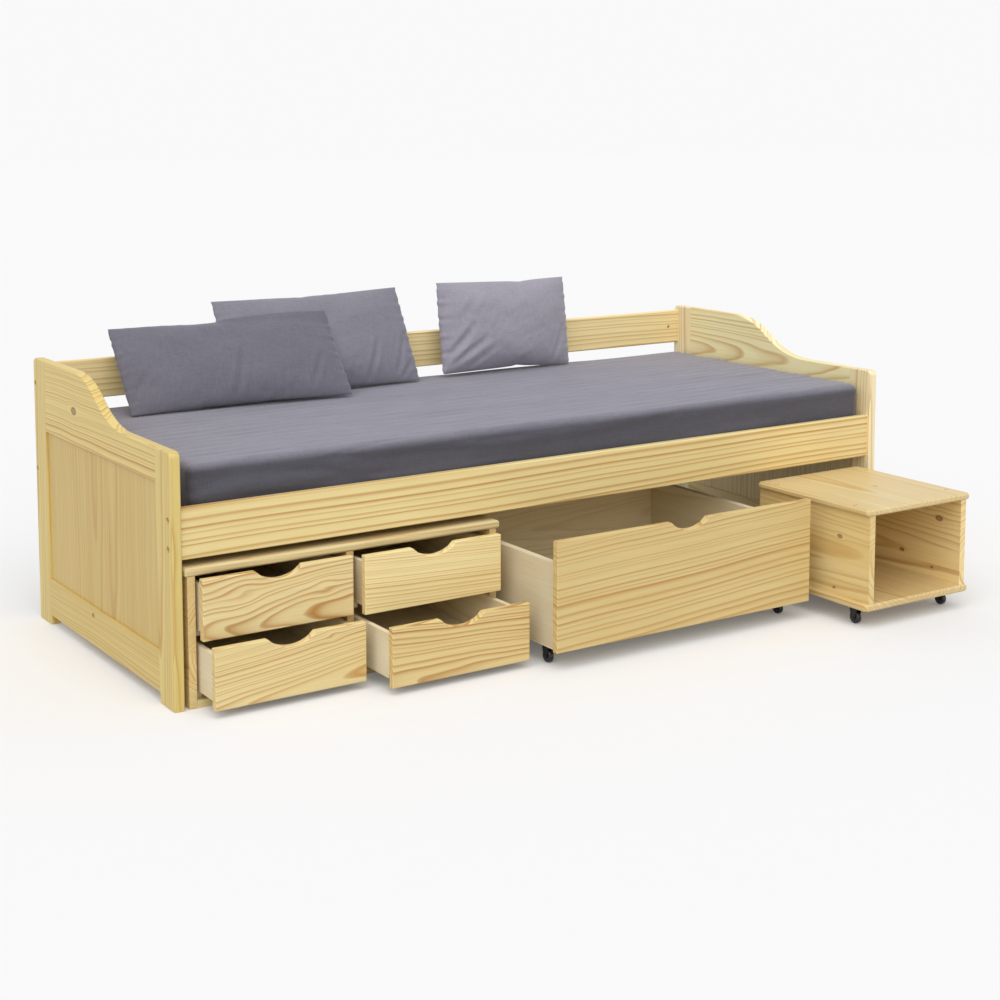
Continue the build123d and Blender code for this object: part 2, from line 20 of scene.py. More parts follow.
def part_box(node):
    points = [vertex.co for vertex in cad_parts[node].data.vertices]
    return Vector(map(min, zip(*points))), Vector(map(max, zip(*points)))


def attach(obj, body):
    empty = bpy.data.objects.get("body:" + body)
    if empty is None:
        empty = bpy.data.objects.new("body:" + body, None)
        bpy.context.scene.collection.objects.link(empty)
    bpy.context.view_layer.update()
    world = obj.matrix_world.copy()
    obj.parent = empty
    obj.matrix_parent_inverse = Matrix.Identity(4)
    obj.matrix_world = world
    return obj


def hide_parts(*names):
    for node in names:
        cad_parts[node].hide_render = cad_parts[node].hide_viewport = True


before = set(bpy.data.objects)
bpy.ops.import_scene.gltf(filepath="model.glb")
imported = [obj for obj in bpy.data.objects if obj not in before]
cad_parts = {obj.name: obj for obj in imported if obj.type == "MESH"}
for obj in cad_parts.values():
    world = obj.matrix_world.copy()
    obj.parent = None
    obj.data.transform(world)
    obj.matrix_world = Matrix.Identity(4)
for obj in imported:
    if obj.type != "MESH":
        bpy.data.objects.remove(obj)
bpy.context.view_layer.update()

MM = 0.001
RAY_REACH = 0.16  # further than any cushion is thick
Pair = tuple[float, float]
Triple = tuple[float, float, float]
Colour = tuple[float, float, float, float]


def linear(hex_colour: str) -> Colour:
    """Turn an sRGB colour into linear light.

    Args:
        hex_colour: the colour as "#RRGGBB".

    Returns:
        Linear red, green, blue and an alpha of 1.
    """
    channels = [int(hex_colour[i : i + 2], 16) / 255 for i in (1, 3, 5)]
    light = [c / 12.92 if c <= 0.04045 else ((c + 0.055) / 1.055) ** 2.4 for c in channels]
    return light[0], light[1], light[2], 1.0


def add_node(
    tree: NodeTree,
    kind: str,
    inputs: dict[str | int, object] | None = None,
    out: str | int = 0,
    **settings: object,
) -> NodeSocket:
    """Add one shader node, with its settings and links.

    Args:
        tree: the node tree that gets the node.
        kind: what follows "ShaderNode" in the node's type, such as "MapRange".
        inputs: a value or another node's output for each input, by name or number.
        out: which output to hand back, by name or number.
        settings: properties of the node itself.

    Returns:
        The chosen output, ready to be an input of the next node.
    """
    node = tree.nodes.new("ShaderNode" + kind)
    for name, value in settings.items():
        setattr(node, name, value)
    for name, value in (inputs or {}).items():
        if isinstance(value, NodeSocket):
            tree.links.new(value, node.inputs[name])
        else:
            node.inputs[name].default_value = value
    return node.outputs[out] if node.outputs else None


def calc(tree: NodeTree, operation: str, *values: object) -> NodeSocket:
    """Add one math node, with its one to three values in order."""
    return add_node(tree, "Math", dict(enumerate(values)), operation=operation)


def add_ramp(tree: NodeTree, factor: NodeSocket, stops: list[Pair]) -> NodeSocket:
    """Bend a 0 to 1 value through a curve of straight pieces.

    Args:
        tree: the node tree that gets the ramp.
        factor: the value to bend.
        stops: position and level of each point, from low to high.

    Returns:
        The bent value.
    """
    colour = add_node(tree, "ValToRGB", {0: factor})
    ramp = colour.node.color_ramp
    while len(ramp.elements) < len(stops):
        ramp.elements.new(0.5)
    for element, (position, level) in zip(ramp.elements, stops):
        element.position = position
        element.color = (level, level, level, 1)
    return colour


def blend(tree: NodeTree, amount: NodeSocket, first: object, second: object) -> NodeSocket:
    """Mix two colours, by an amount from 0 for all the first to 1 for all the second."""
    inputs = {"Factor": amount, "A": first, "B": second}
    return add_node(tree, "Mix", inputs, "Result", data_type="RGBA")


def add_surface(tree: NodeTree, inputs: dict[str, object]) -> None:
    """End a material in one principled shader with these inputs."""
    add_node(tree, "OutputMaterial", {"Surface": add_node(tree, "BsdfPrincipled", inputs)})


def new_material(name: str) -> Material:
    """Make an empty node material."""
    material = bpy.data.materials.new(name)
    material.use_nodes = True
    material.node_tree.nodes.clear()
    return material


class Lay(Enum):
    """How a board lies: the axes along its fibres, across its face and through it.

    Long boards run along the bed, deep ones from front to back, on edge unless they lie flat.
    """

    LONG = (0, 2, 1)
    LONG_FLAT = (0, 1, 2)
    DEEP = (1, 2, 0)
    DEEP_FLAT = (1, 0, 2)
    STANDING = (2, 1, 0)


@dataclass(frozen=True)
class Knot:
    """A branch through a board, or with no shade only the bend that it leaves in the grain.

    Along and across are the frame's own coordinates in mm, on the board's axes.
    """

    along: float
    across: float
    radius: float
    shade: float = 1.0


# One year's growth, from pale early wood to the dark late edge that ends it.
YEAR = [(0.0, 0.0), (0.35, 0.06), (0.62, 0.35), (0.84, 1.0), (0.93, 0.72), (1.0, 0.0)]
# A knot from its middle outwards, in halves of its reach: brown with a darker ring of bark.
KNOT = [(0.0, 0.7), (0.3, 0.55), (0.45, 1.0), (0.56, 0.5), (0.75, 0.0)]
KNOT_BROWN = "#66401E"
KNOT_LENGTH = 0.6  # its width over its length
# How far the grain bends round a knot, and how soon that fades.
KNOT_PUSH, KNOT_FADE = 0.9, 0.42
# Uneven years: swells of growth to a ring, and how many rings one swell shifts the next ones.
GROWTH_PACE, GROWTH_SWING = 0.37, 3.0
# How far apart neighbouring planks lie in the log: across in their own widths, along in mm.
PLANK_ACROSS, PLANK_ALONG = 1.6, 900.0
# How much red, green and blue a warmer stretch of wood keeps of the pale one's.
WARMTH = (0.86, 0.74, 0.55)


@dataclass(frozen=True)
class Pine:
    """Pine board, planed and clear lacquered, or bare.

    The growth rings are cylinders around the tree's heart, which lies outside the board, so every
    cut shows them as a sawn board does: long lines and arches on faces, arcs on end grain. Ring,
    heart, wander and plank are in mm, tilt is the heart's slope. A board without a name of its own
    is lacquered pine and takes its node's words.
    """

    lay: Lay
    pale: str = "#EDDAA0"
    late: str = "#BC8132"
    ring: float = 7.0
    heart: Pair = (10.0, 70.0)
    tilt: Pair = (0.0, 0.03)
    wander: Pair = (6.0, 240.0)
    contrast: float = 0.8
    plank: float = 0.0
    plank_shift: float = 0.0
    plank_tone: float = 0.55
    knots: tuple[Knot, ...] = ()
    seed: float = 1.0
    roughness: float = 0.44
    coat: float = 0.06
    name: str = ""

    def board_axes(self, tree: NodeTree) -> tuple[NodeSocket, NodeSocket, NodeSocket]:
        """Coordinates in mm along the fibres, across the face and through the board."""
        place = add_node(tree, "TexCoord", out="Object")
        in_mm = add_node(tree, "VectorMath", {0: place, "Scale": 1 / MM}, operation="SCALE")
        parts = add_node(tree, "SeparateXYZ", {0: in_mm}).node.outputs
        along, across, deep = self.lay.value
        return parts[along], parts[across], parts[deep]

    def noise(self, tree: NodeTree, axes: tuple, size: tuple, detail: float = 1.0) -> NodeSocket:
        """Smooth noise from about -0.5 to 0.5.

        Args:
            tree: the node tree that gets the noise.
            axes: the board's three coordinates in mm.
            size: how far one swell reaches in mm, along the fibres and across them.
            detail: octaves of finer noise.

        Returns:
            The noise value.
        """
        long, wide = size
        point = add_node(tree, "CombineXYZ", dict(enumerate(axes)))
        scaled = add_node(
            tree,
            "VectorMath",
            {0: point, 1: (1 / long, 1 / wide, 1 / wide), 2: (self.seed * 7.3, self.seed * 3.1, 0)},
            operation="MULTIPLY_ADD",
        )
        value = add_node(tree, "TexNoise", {"Vector": scaled, "Scale": 1.0, "Detail": detail})
        return calc(tree, "SUBTRACT", value, 0.5)

    def knot_reach(self, tree: NodeTree, axes: tuple, knot: Knot) -> NodeSocket:
        """Distance from a knot's middle in its own radii, longer along the fibres."""
        long = calc(tree, "SUBTRACT", axes[0], knot.along)
        wide = calc(tree, "SUBTRACT", axes[1], knot.across)
        point = add_node(tree, "CombineXYZ", {0: long, 1: wide})
        scaled = add_node(
            tree,
            "VectorMath",
            {0: point, 1: (KNOT_LENGTH / knot.radius, 1 / knot.radius, 1)},
            operation="MULTIPLY",
        )
        return add_node(tree, "VectorMath", {0: scaled}, out="Value", operation="LENGTH")

    def bend_round_knots(self, tree: NodeTree, axes: tuple) -> tuple[NodeSocket, list[NodeSocket]]:
        """Push the grain aside at each knot.

        Args:
            tree: the node tree that gets the nodes.
            axes: the board's three coordinates in mm.

        Returns:
            The bent coordinate across the board, and each knot's reach.
        """
        across = axes[1]
        reaches = []
        for knot in self.knots:
            reach = self.knot_reach(tree, axes, knot)
            wide = calc(tree, "MULTIPLY", reach, KNOT_FADE)
            square = calc(tree, "MULTIPLY", wide, wide)
            near = calc(tree, "EXPONENT", calc(tree, "MULTIPLY", square, -1.0))
            offset = calc(tree, "SUBTRACT", knot.across, across)
            pull = calc(tree, "MULTIPLY", near, KNOT_PUSH)
            across = calc(tree, "MULTIPLY_ADD", offset, pull, across)
            reaches.append(reach)
        return across, reaches

    def figure(self, tree: NodeTree, axes: tuple, centre: Vector) -> tuple[NodeSocket, list, NodeSocket]:
        """The darkness of the late wood at every point.

        Args:
            tree: the node tree that gets the nodes.
            axes: the board's three coordinates in mm.
            centre: the middle of the board in metres.

        Returns:
            Late wood from 0 to 1, each knot's reach, and a tone from 0 to 1 for each glued plank.
        """
        along, _, deep = axes
        across, reaches = self.bend_round_knots(tree, axes)
        middle = [centre[i] / MM for i in self.lay.value]
        heart_across, heart_deep = middle[1] + self.heart[0], middle[2] + self.heart[1]
        tone = None
        if self.plank:
            shifted = calc(tree, "SUBTRACT", axes[1], self.plank_shift)
            count = calc(tree, "DIVIDE", shifted, self.plank)
            strip = calc(tree, "FLOOR", count)
            lot = calc(tree, "ADD", strip, self.seed * 17.7)
            draw = add_node(tree, "TexWhiteNoise", {"W": lot}, "Color", noise_dimensions="1D")
            lots = add_node(tree, "SeparateColor", {0: draw}).node.outputs
            across = calc(tree, "MULTIPLY_ADD", lots[0], PLANK_ACROSS * self.plank, across)
            along = calc(tree, "MULTIPLY_ADD", lots[1], PLANK_ALONG, along)
            tone = lots[2]
        run = calc(tree, "SUBTRACT", along, middle[0])
        lean = calc(tree, "MULTIPLY_ADD", run, self.tilt[0], -heart_across)
        rise = calc(tree, "MULTIPLY_ADD", run, self.tilt[1], -heart_deep)
        side = calc(tree, "ADD", across, lean)
        depth = calc(tree, "ADD", deep, rise)
        arm = add_node(tree, "CombineXYZ", {0: side, 1: depth})
        radius = add_node(tree, "VectorMath", {0: arm}, out="Value", operation="LENGTH")
        reach, size = self.wander
        swell = self.noise(tree, (along, across, deep), (size, size / 2.6), 1.5)
        wavy = calc(tree, "MULTIPLY_ADD", swell, 2 * reach, radius)
        rings = calc(tree, "DIVIDE", wavy, self.ring)
        years = add_node(
            tree, "TexNoise", {"W": rings, "Scale": GROWTH_PACE, "Detail": 1.0}, noise_dimensions="1D"
        )
        uneven = calc(tree, "MULTIPLY_ADD", years, GROWTH_SWING, rings)
        part = calc(tree, "FRACT", uneven)
        year = calc(tree, "FLOOR", uneven)
        late = add_ramp(tree, part, YEAR)
        growth = add_node(tree, "TexWhiteNoise", {"W": year}, noise_dimensions="1D")
        strong = add_node(tree, "MapRange", {0: growth, 3: 0.42, 4: 1.1})
        figure = calc(tree, "MULTIPLY", late, strong)
        return figure, reaches, tone

    def material(self, node: str) -> Material:
        """Build the board's own material.

        Args:
            node: the board's CAD node.

        Returns:
            The finished material.
        """
        made = new_material(self.name or "pine " + node.replace("_", " "))
        tree = made.node_tree
        axes = self.board_axes(tree)
        figure, reaches, tone = self.figure(tree, axes, node_centre(node))
        amount = calc(tree, "MULTIPLY", figure, self.contrast)
        pale, late = linear(self.pale), linear(self.late)
        colour = blend(tree, amount, pale, late)
        # Slow change of tone along the board, from sapwood to a warmer stretch.
        warm = tuple(c * k for c, k in zip(pale, WARMTH)) + (1.0,)
        tones = self.noise(tree, axes, (420.0, 46.0))
        if tone is not None:
            tones = calc(tree, "MULTIPLY_ADD", tone, self.plank_tone, tones)
        shift = add_node(tree, "MapRange", {0: tones, 1: -0.25, 2: 0.75, 4: 0.6})
        colour = blend(tree, shift, colour, warm)
        # Fibres are under 0.1 mm wide; they are drawn as 5 mm streaks so that they show at all.
        streak = self.noise(tree, axes, (150.0, 5.0), 2.0)
        shade = add_node(tree, "MapRange", {0: streak, 1: -0.3, 2: 0.3, 3: 0.94, 4: 1.05})
        colour = add_node(tree, "VectorMath", {0: colour, "Scale": shade}, operation="SCALE")
        for knot, reach in zip(self.knots, reaches):
            if knot.shade:
                heart = add_ramp(tree, calc(tree, "MULTIPLY", reach, 0.5), KNOT)
                mask = calc(tree, "MULTIPLY", heart, knot.shade)
                colour = blend(tree, mask, colour, linear(KNOT_BROWN))
        height = calc(tree, "MULTIPLY_ADD", figure, 0.4, streak)
        bump = add_node(tree, "Bump", {"Strength": 0.25, "Distance": 0.3 * MM, "Height": height})
        add_surface(
            tree,
            {
                "Base Color": colour, "Roughness": self.roughness, "IOR": 1.5, "Normal": bump,
                "Specular IOR Level": 0.35, "Coat Weight": self.coat, "Coat Roughness": 0.3,
            },
        )
        return made


@dataclass(frozen=True)
class Cotton:
    """Plain woven cotton: matt to the front, with a pale bloom of loose fibres where seen flat on."""

    name: str
    colour: str
    shaded: str
    thread: float = 2.4
    bloom: float = 0.5
    painted_shade_skirt: str = ""

    def material(self, rim: float = 0.0) -> Material:
        """Build the cloth's material.

        Args:
            rim: height in metres below which a sheet's sides get painted shade, if it has any.

        Returns:
            The finished material.
        """
        made = new_material(self.name)
        tree = made.node_tree
        place = add_node(tree, "TexCoord", out="Object")
        # Threads are about 0.3 mm apart; they are drawn 2.4 mm apart so that they show at all.
        pitch = 1 / (self.thread * MM)
        threads = []
        for stretch in ((pitch / 14, pitch, pitch), (pitch, pitch / 9, pitch / 9)):
            run = add_node(tree, "VectorMath", {0: place, 1: stretch}, operation="MULTIPLY")
            threads.append(add_node(tree, "TexNoise", {"Vector": run, "Scale": 1.0, "Detail": 2.0}))
        weave = calc(tree, "ADD", *threads)
        worn = add_node(tree, "TexNoise", {"Vector": place, "Scale": 9.0, "Detail": 3.0})
        slub = calc(tree, "MULTIPLY_ADD", worn, 0.6, weave)
        mix = add_node(tree, "MapRange", {0: slub, 1: 0.7, 2: 1.9})
        colour = blend(tree, mix, linear(self.shaded), linear(self.colour))
        # Painted shade: below the rim the sheet's sides are multiplied by the skirt colour, standing in
        # for the shade they lie in.
        if self.painted_shade_skirt:
            height = add_node(tree, "SeparateXYZ", {0: place}, "Z")
            above = add_node(
                tree, "MapRange", {0: height, 1: rim - 22 * MM, 2: rim}, interpolation_type="SMOOTHSTEP"
            )
            dull = add_node(
                tree, "VectorMath", {0: colour, 1: linear(self.painted_shade_skirt)[:3]}, operation="MULTIPLY"
            )
            colour = blend(tree, above, dull, colour)
        bump = add_node(tree, "Bump", {"Strength": 0.22, "Distance": 0.5 * MM, "Height": weave})
        add_surface(
            tree,
            {
                "Base Color": colour, "Roughness": 0.9, "Specular IOR Level": 0.25, "Normal": bump,
                "Sheen Weight": self.bloom, "Sheen Roughness": 0.45, "Sheen Tint": linear("#E6E4F0"),
            },
        )
        return made


@dataclass(frozen=True)
class Finish:
    """Finish of a small part: a colour, and fine marks that spread its shine.

    Plated and painted steel has marks of about 1 mm from tumbling in its drum, 900 to a metre, and
    moulded nylon the 0.8 mm texture of a spark eroded mould, 1200 to a metre.
    """

    name: str
    colour: str
    roughness: float
    metallic: float = 1.0
    spread: float = 0.08
    marks: float = 900.0
    ior: float = 1.5

    def material(self) -> Material:
        """Build the finish's material."""
        made = new_material(self.name)
        tree = made.node_tree
        place = add_node(tree, "TexCoord", out="Object")
        grit = add_node(tree, "TexNoise", {"Vector": place, "Scale": self.marks, "Detail": 2.0})
        smooth, dull = self.roughness - self.spread, self.roughness + self.spread
        rough = add_node(tree, "MapRange", {0: grit, 3: smooth, 4: dull})
        bump = add_node(tree, "Bump", {"Strength": 0.2, "Distance": 0.05 * MM, "Height": grit})
        add_surface(
            tree,
            {
                "Base Color": linear(self.colour), "Metallic": self.metallic, "Roughness": rough,
                "IOR": self.ior, "Normal": bump,
            },
        )
        return made


def dress_node(node: str, material: Material, ease: float = 0.0) -> None:
    """Give a CAD node its material, and ease its arrises.

    Args:
        node: the CAD node's name.
        material: the material for all of it.
        ease: radius of the eased arrises in mm, 0 to leave them.
    """
    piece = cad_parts[node]
    piece.data.materials.clear()
    piece.data.materials.append(material)
    if ease:
        weld = piece.modifiers.new("weld", "WELD")
        weld.merge_threshold = 0.01 * MM
        bevel = piece.modifiers.new("ease", "BEVEL")
        bevel.width = ease * MM
        bevel.segments = 2
        bevel.limit_method = "ANGLE"
        bevel.angle_limit = math.radians(30)
        bevel.use_clamp_overlap = True
    logging.info("dressed %s", node)


def node_centre(node: str) -> Vector:
    """Middle of a CAD node in metres."""
    low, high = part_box(node)
    return (low + high) / 2


class Joinery:
    """Boards that come straight from the frame, each with its own cut of pine, and with pale tones that
    on some boards also carry painted light and shade.

    Every arris is eased by the same radius in mm.
    """

    boards: ClassVar[dict[str, Pine]] = {}
    ease: ClassVar[float] = 0.9

    def dress(self) -> None:
        """Give every board its grain."""
        for node, pine in self.boards.items():
            dress_node(node, pine.material(node), self.ease)


class BedFrame(Joinery):
    """Two ends, three long rails, slats and ledgers, and the bolts between them."""

    boards: ClassVar[dict[str, Pine]] = {
        # The left end's boards have darker, less blue pale tones than the rest: painted shade on the
        # faces turned away from the lamp.
        "left_front_post": Pine(
            Lay.STANDING, "#E3CF85", "#B87E2F", ring=8, heart=(40, 30), plank=41, plank_shift=-189.5,
            contrast=0.75, seed=2,
        ),
        "left_rear_post": Pine(
            Lay.STANDING, "#E0CB81", "#B67C2E", ring=10, heart=(52, 36), contrast=0.6, seed=3
        ),
        "left_top_rail": Pine(
            Lay.DEEP, "#E5CF84", "#B3762B", ring=7.5, heart=(-150, 60), tilt=(0.02, 0.02),
            wander=(8, 300), contrast=0.9, knots=(Knot(343, 570, 8),), seed=4,
        ),
        "left_bottom_rail": Pine(
            Lay.DEEP, "#DEC980", "#B3792D", ring=8, heart=(-30, 60), tilt=(0.03, 0.06), wander=(8, 280),
            plank=58, plank_shift=78, knots=(Knot(247, 98, 4),), seed=5,
        ),
        "left_end_panel": Pine(
            Lay.STANDING, "#D6BD76", "#B37F32", ring=11, heart=(30, 60), wander=(10, 300), contrast=0.6,
            plank=74, plank_shift=-150, seed=6,
        ),
        # The right end's posts, top rail and panel have lighter pale tones than the rest: painted light
        # on faces that stand in shade.
        "right_front_post": Pine(
            Lay.STANDING, "#FAECC2", "#C78F3B", ring=9, heart=(40, 34), contrast=0.65, seed=7
        ),
        "right_rear_post": Pine(
            Lay.STANDING, "#FAECC2", "#C78F3B", ring=9, heart=(-40, 34), contrast=0.65, seed=8
        ),
        "right_top_rail": Pine(
            Lay.DEEP, "#FFF5C2", "#C38934", ring=9, heart=(-26, 60), tilt=(0.03, 0.05), contrast=0.75,
            seed=9,
        ),
        "right_bottom_rail": Pine(Lay.DEEP, ring=9, contrast=0.7, seed=10),
        "right_end_panel": Pine(
            Lay.STANDING, "#F4E4B4", "#BD8534", ring=11, wander=(10, 300), contrast=0.6, plank=74,
            seed=11,
        ),
        "front_rail": Pine(
            Lay.LONG, "#F0DDA0", "#B87B28", ring=15, heart=(-150, 40), tilt=(-0.012, 0.01),
            wander=(13, 900), contrast=0.95, seed=12,
        ),
        "rear_rail": Pine(Lay.LONG, ring=12, seed=13),
        # Its lighter pale tone is painted light on a face that stands in shade.
        "backrest_rail": Pine(
            Lay.LONG, "#FCE9B0", "#BB8232", ring=12, heart=(-90, 40), tilt=(0.01, 0.01),
            wander=(10, 700), contrast=0.7, seed=14,
        ),
        "slat_ledgers": Pine(
            Lay.LONG, "#E6D3A6", "#C39A5E", roughness=0.7, coat=0, seed=15, name="bare pine ledgers"
        ),
        "bed_slats": Pine(
            Lay.DEEP_FLAT, "#E6D3A6", "#C39A5E", plank=145, roughness=0.7, coat=0, seed=16,
            name="bare pine slats",
        ),
    }

    def dress(self) -> None:
        """Give the boards their grain and the hardware its plating."""
        super().dress()
        dress_node("frame_bolts", Finish("black passivated zinc on steel", "#4A4743", 0.42).material())
        dress_node("cross_nuts", Finish("bright zinc on steel", "#A9ABAE", 0.34).material())


def bare(name: str, lay: Lay, seed: float) -> Pine:
    """Unlacquered drawer pine, pale and dull."""
    return Pine(
        lay, "#EADFC2", "#D0B585", ring=8, contrast=0.5, seed=seed, roughness=0.75, coat=0, name=name
    )


def bare_drawers() -> dict[str, Pine]:
    """The boxes and bottoms of the four small drawers."""
    boards = {}
    for number, place in enumerate(("upper_left", "lower_left", "upper_right", "lower_right"), 1):
        words = place.replace("_", " ")
        boards[f"{place}_drawer_box"] = bare(f"bare pine {words} box", Lay.DEEP, 40 + number)
        boards[f"{place}_drawer_bottom"] = bare(f"plywood {words} bottom", Lay.LONG_FLAT, 44 + number)
    return boards


class Chest(Joinery):
    """Carcass of the chest and its four drawers."""

    boards: ClassVar[dict[str, Pine]] = {
        "chest_top": Pine(
            Lay.LONG_FLAT, "#DFD0A0", "#C99340", ring=9, heart=(-300, 60), contrast=0.6, seed=21
        ),
        "chest_left_side": Pine(Lay.DEEP, "#E8D39B", "#B9802F", ring=6, plank=62, seed=22),
        "chest_right_side": Pine(Lay.DEEP, "#E2CD98", "#B57D2F", ring=7, plank=62, seed=23),
        "chest_divider": Pine(Lay.DEEP, "#D9BE84", "#AB722A", ring=7, plank=62, seed=24),
        "chest_bottom": Pine(Lay.LONG_FLAT, ring=9, plank=70, seed=25),
        "chest_back": Pine(
            Lay.LONG, ring=18, contrast=0.4, roughness=0.7, coat=0, seed=26, name="plywood chest back"
        ),
        "chest_runners": bare("bare pine runners", Lay.DEEP, 27),
        "upper_left_drawer_front": Pine(
            Lay.LONG, "#EDDAA3", "#B27529", ring=8.5, heart=(-46, 44), tilt=(-0.02, 0.11),
            wander=(9, 170), contrast=0.95, seed=31,
            knots=(Knot(-885, 246, 11, 0), Knot(-690, 228, 7, 0)),
        ),
        "lower_left_drawer_front": Pine(
            Lay.LONG, "#EBD79E", "#BC8232", ring=6.5, heart=(-60, 30), tilt=(-0.1, 0.04),
            wander=(5, 260), contrast=0.8, seed=32, knots=(Knot(-702, 136, 5, 0),),
        ),
        "upper_right_drawer_front": Pine(
            Lay.LONG, "#F7E5AB", "#C58B36", ring=6, heart=(-90, 40), tilt=(0.06, 0.02), wander=(4, 320),
            contrast=0.75, seed=33,
        ),
        # Its darker pale tone is painted shade.
        "lower_right_drawer_front": Pine(
            Lay.LONG, "#E6CF92", "#AA6E25", ring=8.5, heart=(-70, 42), tilt=(0.08, 0.05),
            wander=(7, 260), contrast=0.95, seed=34,
        ),
        **bare_drawers(),
    }


class CastorUnit(Joinery):
    """Something on four castors."""

    unit: ClassVar[str] = ""

    def dress(self) -> None:
        """Give the boards their grain, and the castors their black finishes."""
        super().dress()
        words = self.unit.replace("_", " ")
        nylon = Finish(
            f"moulded nylon wheels of the {words}", "#17171A", 0.36, metallic=0.0, spread=0.06,
            marks=1200.0, ior=1.53,
        ).material()
        steel = Finish(f"black powder coat on the {words} castors", "#1C1B1C", 0.38, 0.3).material()
        for corner in ("front_left", "front_right", "back_left", "back_right"):
            dress_node(f"{self.unit}_{corner}_wheel", nylon)
        dress_node(f"{self.unit}_castor_forks", steel, 0.4)


class RollingDrawer(CastorUnit):
    """The deep drawer: a lacquered front on a bare box."""

    unit = "rolling_drawer"
    boards: ClassVar[dict[str, Pine]] = {
        "rolling_drawer_front": Pine(
            Lay.LONG, "#DDC68A", "#B3772C", ring=12, heart=(-170, 60), tilt=(-0.05, 0.004),
            wander=(11, 520), contrast=0.8, seed=51,
        ),
        "rolling_drawer_sides": Pine(
            Lay.DEEP, "#DED3B6", "#BFA478", ring=12, contrast=0.5, roughness=0.75, coat=0, seed=52,
            name="bare pine rolling drawer sides",
        ),
        "rolling_drawer_back": bare("bare pine rolling drawer back", Lay.LONG, 53),
        "rolling_drawer_bottom": bare("plywood rolling drawer bottom", Lay.LONG_FLAT, 54),
    }


class SideTable(CastorUnit):
    """The open side table, in boards of narrow glued strips."""

    unit = "side_table"
    boards: ClassVar[dict[str, Pine]] = {
        "side_table_top": Pine(
            Lay.DEEP_FLAT, "#E3D09E", "#C38D3C", ring=10, heart=(10, 70), contrast=0.6, plank=45,
            seed=61, knots=(Knot(-427, 837, 4, 0.6),),
        ),
        "side_table_bottom": Pine(
            Lay.DEEP_FLAT, "#E2CC98", "#B57E31", ring=10, heart=(-10, 70), contrast=0.7, plank=45,
            seed=62,
        ),
        "side_table_left_side": Pine(
            Lay.DEEP, "#EED89C", "#B78134", ring=12, heart=(20, 60), contrast=0.6, plank=50, seed=63,
            knots=(Knot(-513, 216, 4.5, 0.9), Knot(-496, 81, 2.5)),
        ),
        # Its lighter pale tone is painted light on the inner face, which stands in shade.
        "side_table_right_side": Pine(
            Lay.DEEP, "#FFE8AC", "#B0782E", ring=12, heart=(-20, 60), contrast=0.65, plank=50, seed=64,
            knots=(Knot(-544, 225, 6, 0.9), Knot(-418, 116, 4), Knot(-523, 91, 2.5)),
        ),
        "side_table_back": Pine(
            Lay.LONG, "#DFC891", "#B78134", ring=12, plank=60, contrast=0.6, seed=65
        ),
    }

    def dress(self) -> None:
        """Dress the table, and blacken its screws."""
        super().dress()
        dress_node("side_table_screws", Finish("black phosphate on steel", "#2E2B29", 0.5).material())


def sines(points: np.ndarray, seed: int, wave: Pair, reach: float, count: int = 9) -> np.ndarray:
    """Smooth seeded swells over a surface.

    Args:
        points: places on the surface in metres, one row of two each.
        seed: which set of swells.
        wave: shortest and longest wavelength in mm.
        reach: how much longer the swells are along the first axis than across it.
        count: number of waves added up.

    Returns:
        One value from about -1 to 1 for each point.
    """
    draw = np.random.default_rng(seed)
    total = np.zeros(len(points))
    for _ in range(count):
        length = draw.uniform(*wave) * MM
        angle = draw.normal(math.pi / 2, 0.5)
        phase = draw.uniform(0, 2 * math.pi)
        along, across = math.cos(angle) / (length * reach), math.sin(angle) / length
        total += np.sin(2 * math.pi * (points[:, 0] * along + points[:, 1] * across) + phase)
    return total / math.sqrt(count)


def read_points(mesh: Mesh) -> np.ndarray:
    """A mesh's vertices, one row of three each."""
    flat = np.zeros(len(mesh.vertices) * 3)
    mesh.vertices.foreach_get("co", flat)
    return flat.reshape(-1, 3)


def write_points(mesh: Mesh, points: np.ndarray) -> None:
    """Put vertices back after they were moved."""
    mesh.vertices.foreach_set("co", points.astype(np.float32).ravel())
    mesh.update()


def add_piece(name: str, mesh: Mesh) -> Object:
    """Make a smooth shaded object of a mesh and put it in the scene."""
    mesh.shade_smooth()
    piece = bpy.data.objects.new(name, mesh)
    bpy.context.scene.collection.objects.link(piece)
    return piece


def apply_modifiers(piece: Object) -> None:
    """Turn what the modifiers show into the piece's own mesh."""
    graph = bpy.context.evaluated_depsgraph_get()
    mesh = bpy.data.meshes.new_from_object(piece.evaluated_get(graph))
    piece.modifiers.clear()
    piece.data = mesh
    mesh.shade_smooth()


def round_cells(piece: Object) -> None:
    """Halve a piece's cells smoothly and keep the result."""
    smooth = piece.modifiers.new("smooth", "SUBSURF")
    smooth.levels = smooth.render_levels = 1
    apply_modifiers(piece)


